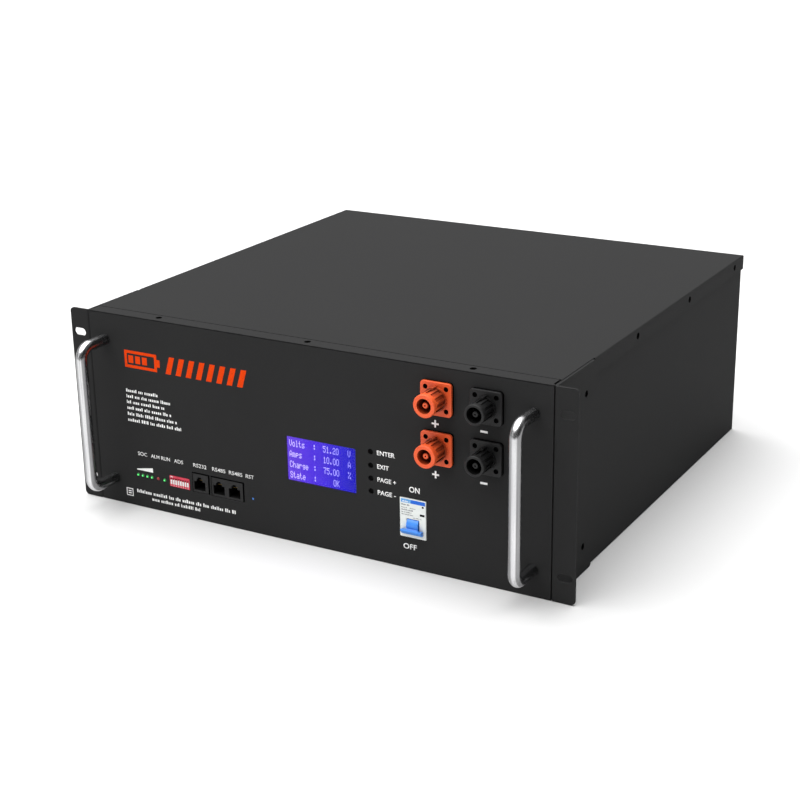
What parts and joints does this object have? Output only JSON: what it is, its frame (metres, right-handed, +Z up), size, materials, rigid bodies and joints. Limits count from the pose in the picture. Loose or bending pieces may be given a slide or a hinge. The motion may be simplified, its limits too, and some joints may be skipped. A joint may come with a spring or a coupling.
{
  "type": "rack-mount battery pack",
  "caption": "Battery pack for a 19-inch rack: black steel case with rack ears, bar handles, power sockets, breaker, display, keys, lamps and data ports on its front, and cells inside.",
  "frame": {"origin": "middle of the underside of the whole box, handles included", "axes": "+X to the right seen from the front, +Y from the front panel to the rear, +Z up"},
  "size_m": [0.4826, 0.4672, 0.177],
  "materials": {
    "powder_coat": "fine-texture satin powder coat",
    "zinc_steel": "zinc-plated",
    "black_screw": "black oxide",
    "chrome_bar": "polished",
    "orange_plastic": "satin moulded",
    "black_plastic": "satin moulded",
    "white_plastic": "smooth moulded",
    "blue_plastic": "smooth moulded",
    "red_plastic": "smooth moulded",
    "clear_window": "clear",
    "display": "backlit",
    "lamp_green": "diffused lens",
    "lamp_red": "diffused lens",
    "circuit_board": "solder mask",
    "copper_bar": "plain copper",
    "silver_contact": "silver-plated",
    "cell_can": "blue insulating film",
    "bare_aluminium": "natural",
    "seal_rubber": "moulded",
    "cable_red": "silicone jacket",
    "cable_black": "silicone jacket"
  },
  "bodies": {
    "case": {"chassis_tray": "powder_coat", "front_panel": "powder_coat", "lid": "powder_coat", "rear_panel": "powder_coat", "front_rails": "powder_coat", "rack_ear_right": "powder_coat", "rack_ear_left": "powder_coat", "case_screws": "black_screw", "handle_right": "chrome_bar", "handle_left": "chrome_bar", "handle_screws": "zinc_steel", "socket_positive_lower": "orange_plastic", "socket_positive_upper": "orange_plastic", "socket_negative_lower": "black_plastic", "socket_negative_upper": "black_plastic", "socket_pins": "silver_contact", "socket_seals": "seal_rubber", "socket_nuts": "zinc_steel", "socket_screws": "black_screw", "lcd_window": "clear_window", "lcd_module": "display", "menu_board": "circuit_board", "key_switches": "black_plastic", "green_lamps": "lamp_green", "alarm_lamp": "lamp_red", "dip_switch_body": "red_plastic", "rs232_jack": "black_plastic", "rs485_jack": "black_plastic", "breaker_body": "white_plastic", "breaker_bracket": "zinc_steel", "bms_board": "circuit_board", "bms_heat_sink": "bare_aluminium", "bms_standoffs": "zinc_steel", "cell_row_front": "cell_can", "cell_row_rear": "cell_can", "cell_end_plates": "bare_aluminium", "cell_tie_straps": "zinc_steel", "cell_spacer": "black_plastic", "base_insulation": "black_plastic", "series_links": "copper_bar", "positive_bar": "copper_bar", "negative_bar": "copper_bar", "cell_positive_cable": "cable_red", "cell_negative_cable": "cable_black", "pack_negative_cable": "cable_black", "sense_ribbon": "cable_black"},
    "breaker_toggle": {"breaker_toggle": "blue_plastic"},
    "key_enter": {"key_enter": "black_plastic"},
    "key_exit": {"key_exit": "black_plastic"},
    "key_page_up": {"key_page_up": "black_plastic"},
    "key_page_down": {"key_page_down": "black_plastic"},
    "reset_button": {"reset_button": "blue_plastic"},
    "dip_slider_1": {"dip_slider_1": "white_plastic"},
    "dip_slider_2": {"dip_slider_2": "white_plastic"},
    "dip_slider_3": {"dip_slider_3": "white_plastic"},
    "dip_slider_4": {"dip_slider_4": "white_plastic"},
    "dip_slider_5": {"dip_slider_5": "white_plastic"},
    "dip_slider_6": {"dip_slider_6": "white_plastic"},
    "dip_slider_7": {"dip_slider_7": "white_plastic"},
    "dip_slider_8": {"dip_slider_8": "white_plastic"}
  },
  "joints": [
    {"name": "breaker_toggle_hinge", "type": "hinge", "parent": "case", "child": "breaker_toggle", "pos_m": [0.0997, -0.1929, 0.0389], "axis": [-1, 0, 0], "range_deg": [0, 80]},
    {"name": "key_enter_press", "type": "slide", "parent": "case", "child": "key_enter", "axis": [0, 1, 0], "range_m": [0, 0.0005], "stiffness_N_per_m": 500},
    {"name": "key_exit_press", "type": "slide", "parent": "case", "child": "key_exit", "axis": [0, 1, 0], "range_m": [0, 0.0005], "stiffness_N_per_m": 500},
    {"name": "key_page_up_press", "type": "slide", "parent": "case", "child": "key_page_up", "axis": [0, 1, 0], "range_m": [0, 0.0005], "stiffness_N_per_m": 500},
    {"name": "key_page_down_press", "type": "slide", "parent": "case", "child": "key_page_down", "axis": [0, 1, 0], "range_m": [0, 0.0005], "stiffness_N_per_m": 500},
    {"name": "reset_button_press", "type": "slide", "parent": "case", "child": "reset_button", "axis": [0, 1, 0], "range_m": [0, 0.0004], "stiffness_N_per_m": 500},
    {"name": "dip_slider_1_travel", "type": "slide", "parent": "case", "child": "dip_slider_1", "axis": [0, 0, 1], "range_m": [0, 0.0018]},
    {"name": "dip_slider_2_travel", "type": "slide", "parent": "case", "child": "dip_slider_2", "axis": [0, 0, 1], "range_m": [0, 0.0018]},
    {"name": "dip_slider_3_travel", "type": "slide", "parent": "case", "child": "dip_slider_3", "axis": [0, 0, 1], "range_m": [0, 0.0018]},
    {"name": "dip_slider_4_travel", "type": "slide", "parent": "case", "child": "dip_slider_4", "axis": [0, 0, 1], "range_m": [0, 0.0018]},
    {"name": "dip_slider_5_travel", "type": "slide", "parent": "case", "child": "dip_slider_5", "axis": [0, 0, 1], "range_m": [0, 0.0018]},
    {"name": "dip_slider_6_travel", "type": "slide", "parent": "case", "child": "dip_slider_6", "axis": [0, 0, 1], "range_m": [0, 0.0018]},
    {"name": "dip_slider_7_travel", "type": "slide", "parent": "case", "child": "dip_slider_7", "axis": [0, 0, 1], "range_m": [0, 0.0018]},
    {"name": "dip_slider_8_travel", "type": "slide", "parent": "case", "child": "dip_slider_8", "axis": [0, 0, 1], "range_m": [0, 0.0018]}
  ]
}
